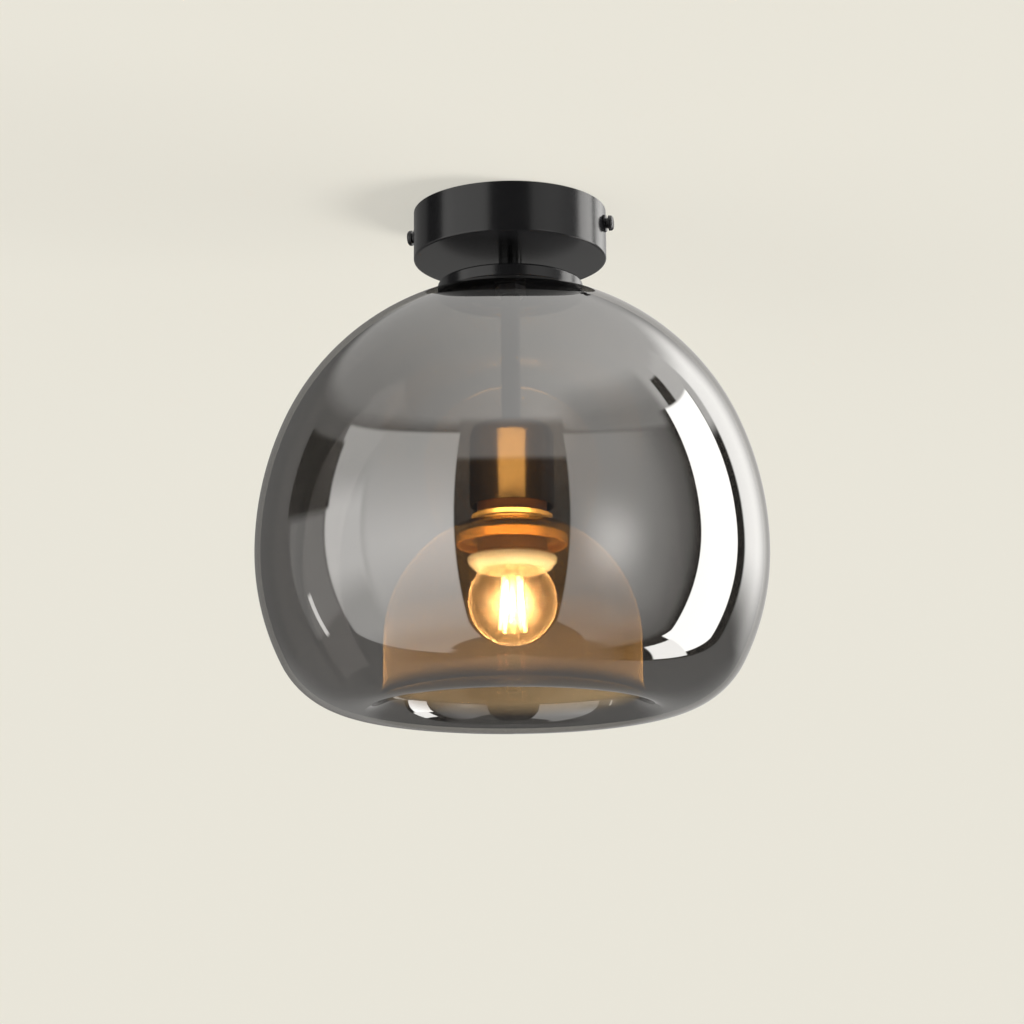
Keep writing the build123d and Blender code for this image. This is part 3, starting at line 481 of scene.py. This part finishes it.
dome_mouth = (0.0, 0.0, -0.250)
ceiling_middle = (0.0, 0.0, 0.0)
collar_glow = glow_light(
    "collar_glow", ["lampholder_collar"], "ELLIPSE", size=(0.12, 0.12), power=2.6,
    colour=(1.0, 0.93, 0.74), where=dome_mouth, aim=ceiling_middle)
collar_glow.visible_glossy = False
glow_light(
    "ring_underglow", ["shade_ring", "upper_clamp_ring", "lampholder_barrel"], "ELLIPSE",
    size=(0.13, 0.13), power=1.0, colour=(1.0, 0.48, 0.15), where=dome_mouth, aim=ceiling_middle)

view_turn = math.radians(12.0)
front_reach = 0.072
front_x = math.sin(view_turn) * front_reach
front_y = -math.cos(view_turn) * front_reach
glow_light(
    "sleeve_glow", ["lampholder_sleeve"], "RECTANGLE", size=(0.090, 0.036), power=0.85,
    colour=(1.0, 0.47, 0.10), where=(front_x, front_y, -0.1233), aim=(0.0, 0.0, -0.136))
glow_light(
    "neck_glow", ["lampholder_barrel", "shade_ring"], "RECTANGLE", size=(0.160, 0.020), power=0.62,
    colour=(1.0, 0.50, 0.10), where=(front_x, front_y, -0.192), aim=(0.0, 0.0, -0.178))
glow_light(
    "ring_glow", ["shade_ring", "upper_clamp_ring"], "RECTANGLE", size=(0.160, 0.030), power=1.0,
    colour=(1.0, 0.64, 0.20), where=(front_x, front_y, -0.150), aim=(0.0, 0.0, -0.168))

# Studio ceiling: a wide plain pale sheet just above the bracket, seen from below and not in reflections.
# It takes the shadow of the key light, and the lamp doesn't warm it.
backdrop = (0.831, 0.807, 0.723, 1.0)
ceiling_reach = 40.0
ceiling_lift = 0.0004
ceiling_lit_share = 0.38
corners = np.array([(-1, -1), (-1, 1), (1, 1), (1, -1)], float) * ceiling_reach
points = np.column_stack([corners, np.full(4, ceiling_lift)])
ceiling_mesh = bpy.data.meshes.new("ceiling")
ceiling_mesh.from_pydata(points.tolist(), [], [(0, 1, 2, 3)])
ceiling = show(bpy.data.objects.new("ceiling", ceiling_mesh))
ceiling.visible_diffuse = False
ceiling.visible_glossy = False
ceiling.visible_shadow = False
plaster, tree, shader = surface("ceiling_plaster")
tree.nodes.remove(shader)
base_glow = put(tree, "Emission", {"Color": backdrop, "Strength": 1.0 - ceiling_lit_share})
chalk = put(tree, "BsdfDiffuse", {"Color": backdrop})
chalk_part = put(tree, "MixShader", {0: ceiling_lit_share, 2: chalk.outputs[0]})
plain = put(tree, "AddShader", {0: base_glow.outputs[0], 1: chalk_part.outputs[0]})
whole_look(tree, front_only(tree, plain))
ceiling_mesh.materials.append(plaster)
light_link(lamp_lit, "EXCLUDE", ceiling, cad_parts["lampholder_collar"])

# Studio surround: soft panels all round, which are what glass, paint and plate reflect.
# Bearings count from the camera's side, to the right, and rises from the level, both in degrees.
world = bpy.data.worlds.new("studio_surround")
bpy.context.scene.world = world
world.use_nodes = True
sky = world.node_tree
sky.nodes.clear()
way = put(sky, "TexCoord").outputs["Generated"]
turned = put(sky, "VectorRotate", {"Vector": way, "Angle": -view_turn}, rotation_type="Z_AXIS")
heading = put(sky, "SeparateXYZ", {"Vector": turned.outputs["Vector"]})
ahead = maths(sky, "MULTIPLY", heading.outputs["Y"], -1.0)
bearing = maths(sky, "DEGREES", maths(sky, "ARCTAN2", heading.outputs["X"], ahead))
rise = maths(sky, "DEGREES", maths(sky, "ARCSINE", heading.outputs["Z"]))


def edge(value, middle, soft, start, end):
    """Goes smoothly from start to end while a value crosses a soft edge."""
    inputs = {"Value": value, "From Min": middle - soft, "From Max": middle + soft}
    inputs["To Min"] = start
    inputs["To Max"] = end
    return put(sky, "MapRange", inputs, interpolation_type="SMOOTHSTEP").outputs["Result"]


def band(value, low, high, soft_low, soft_high):
    """One between low and high, falling smoothly to nought over each soft edge."""
    rising = edge(value, low, soft_low, start=0.0, end=1.0)
    falling = edge(value, high, soft_high, start=1.0, end=0.0)
    return maths(sky, "MULTIPLY", rising, falling)


def panel(below, level, bearings, rises, soft_bearings=(1.5, 1.5), soft_rises=(1.5, 1.5), tilt=0.0):
    """Lays one soft panel of a brightness over what is below it, between two bearings and two rises.

    With a tilt, rises count from a line that climbs by that many degrees for each degree of bearing.
    """
    across = band(bearing, *bearings, *soft_bearings)
    above_line = maths(sky, "MULTIPLY_ADD", bearing, -tilt, rise)
    upward = band(above_line, *rises, *soft_rises)
    cover = maths(sky, "MULTIPLY", across, upward)
    return put(sky, "Mix", {0: cover, 2: below, 3: level}).outputs[0]


# Overhead, brighter to the right, and the floor, darkest straight below.
overhead = spread(sky, heading.outputs["X"], low=0.44, high=1.50, start=-1.0, end=1.0)
surround = panel(0.24, overhead, (-181, 181), (38.5, 91), soft_rises=(3.5, 1.0))
surround = panel(surround, 0.26, (-181, 181), (-91, -12), soft_rises=(1.0, 6.0))
surround = panel(surround, 0.15, (-125, 125), (-91, -60), (20.0, 20.0), (1.0, 8.0))

# Low at the back, on both sides.
surround = panel(surround, 0.38, (-181, -148), (-17, -3), (1.0, 10.0), (8.0, 6.0))
surround = panel(surround, 0.38, (150, 181), (-17, -3), (10.0, 1.0), (8.0, 6.0))

# High in front on the right, and the middle of the front, dark below its upper edge.
surround = panel(surround, 0.80, (26, 88), (36, 51), (12.0, 4.0), (2.0, 5.0))
surround = panel(surround, 0.60, (32, 88), (36, 44), (14.0, 4.0), (2.0, 4.0))
surround = panel(surround, 0.42, (-26, 26), (26, 40), (1.0, 1.0), (1.5, 3.0))
surround = panel(surround, 0.04, (-26, 26), (-72, 26), (1.0, 1.0), (4.0, 1.5))

# Large left panel, brightest about the level, with a slanting lower edge.
surround = panel(surround, 0.72, (-89, -25), (-72, 35.5), (1.0, 0.6), (2.0, 0.8))
surround = panel(surround, 1.08, (-89, -25), (-46, 35.5), (1.0, 0.6), (14.0, 0.8))
surround = panel(surround, 1.75, (-68, -25), (-22, 14), (4.0, 0.6), (20.0, 20.0))
surround = panel(surround, 0.15, (-72, -24), (-95, -58.6), (2.0, 1.0), (1.0, 1.0), tilt=0.162)
surround = panel(surround, 1.75, (-88.5, -68.5), (-14, 18), (0.8, 1.5), (8.0, 6.0))

# Large right panel, fading outwards, with a bright middle and a slanting lower edge.
surround = panel(surround, 0.48, (25, 68), (-60, 35), (0.6, 20.0), (2.0, 1.0))
surround = panel(surround, 0.78, (25, 68), (-34, 35), (0.6, 20.0), (14.0, 1.0))
surround = panel(surround, 3.30, (38, 50), (-12, 2), (14.0, 16.0), (16.0, 18.0))
surround = panel(surround, 0.15, (24, 60), (-90, -30.1), (1.0, 2.0), (1.0, 1.0), tilt=-0.533)

# Bright strip on the right with its foot and head, in a dark surround.
surround = panel(surround, 0.02, (86, 117.5), (-62, 39.5), (4.0, 0.6), (6.0, 0.5))
surround = panel(surround, 0.02, (94, 103), (39, 47.5), (0.6, 0.6), (0.5, 0.6))
surround = panel(surround, 0.02, (117, 123), (-62, 29), (0.5, 1.0), (6.0, 2.0))
surround = panel(surround, 1.50, (102, 124), (39.5, 50), (1.0, 1.0), (0.6, 2.0))
surround = panel(surround, 1.40, (117, 124), (30, 41), (0.5, 0.5), (2.0, 2.0))
surround = panel(surround, 4.2, (90, 116.5), (-36, 39.5), (0.4, 0.4), (0.5, 0.5))
surround = panel(surround, 3.4, (97, 121), (-49, -35), (0.5, 0.5), (0.5, 0.5))

# Back right, and small marks on the far left.
surround = panel(surround, 0.70, (150, 181), (-3, 44), (10.0, 1.0), (10.0, 6.0))
surround = panel(surround, 2.90, (123.5, 148), (-1, 44), (1.2, 12.0), (10.0, 6.0))
surround = panel(surround, 0.01, (-117, -87.5), (13.5, 31), (1.0, 1.0), (1.0, 1.0))
surround = panel(surround, 0.45, (-114, -90), (-20, 12), (1.5, 1.0), (2.0, 1.0))
surround = panel(surround, 2.2, (-107, -104.5), (-22, -9), (0.4, 0.4), (1.0, 1.0))

# The camera sees the plain backdrop, and everything else the panels.
studio_white = (1.0, 0.985, 0.955)
around = put(sky, "Background", {"Color": (*studio_white, 1.0), "Strength": surround})
behind = put(sky, "Background", {"Color": backdrop, "Strength": 1.0})
to_camera = put(sky, "LightPath").outputs["Is Camera Ray"]
put(sky, "OutputWorld", {"Surface": layered(sky, to_camera, around, behind).outputs[0]})

# Key light: broad light from the right and below, which throws the soft shadow on the ceiling.
# Only what stands under the ceiling outside the globe stops it, and the glass doesn't take it.
key_bearing = math.radians(103.0)
key_rise = math.radians(-40.0)
key_turn = view_turn + key_bearing
key_from = Vector((math.sin(key_turn), -math.cos(key_turn), math.tan(key_rise)))
key_light = bpy.data.lights.new("key_light", "SUN")
key_light.energy = 2.1
key_light.angle = math.radians(20.0)
key_light.color = studio_white
key = show(bpy.data.objects.new("key_light", key_light))
key.rotation_euler = key_from.to_track_quat("Z", "Y").to_euler()
key.visible_glossy = False
stoppers = bpy.data.collections.new("key_light_stoppers")
for name in ("canopy", "stem_spacer", "glass_cap", "canopy_screw_right", "canopy_screw_left"):
    stoppers.objects.link(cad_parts[name])
key.light_linking.blocker_collection = stoppers
light_link(key, "EXCLUDE", globe_glass)

# Camera: in front and below, looking up at the fitting from the photograph's angle.
# Its distance, height, tilt and roll come from the fitted outlines of globe, canopy, cap and lamp.
camera_distance = 1.328
camera_height = -0.4658
camera_tilt = math.radians(90.0 + 12.985)
camera_roll = math.radians(-0.43)
camera_data = bpy.data.cameras.new("camera")
camera_data.lens = 94.32
camera_data.sensor_width = 36.0
camera_data.clip_end = 200.0
camera = show(bpy.data.objects.new("camera", camera_data))
camera_x = math.sin(view_turn) * camera_distance
camera_y = -math.cos(view_turn) * camera_distance
level_turn = Matrix.Rotation(view_turn, 4, "Z")
upward_tilt = Matrix.Rotation(camera_tilt, 4, "X")
slight_roll = Matrix.Rotation(camera_roll, 4, "Z")
stand = Matrix.Translation(Vector((camera_x, camera_y, camera_height)))
camera.matrix_world = stand @ (level_turn @ upward_tilt @ slight_roll)
bpy.context.scene.camera = camera
bpy.context.scene.view_settings.view_transform = "Standard"
bpy.context.scene.cycles.transparent_max_bounces = 32
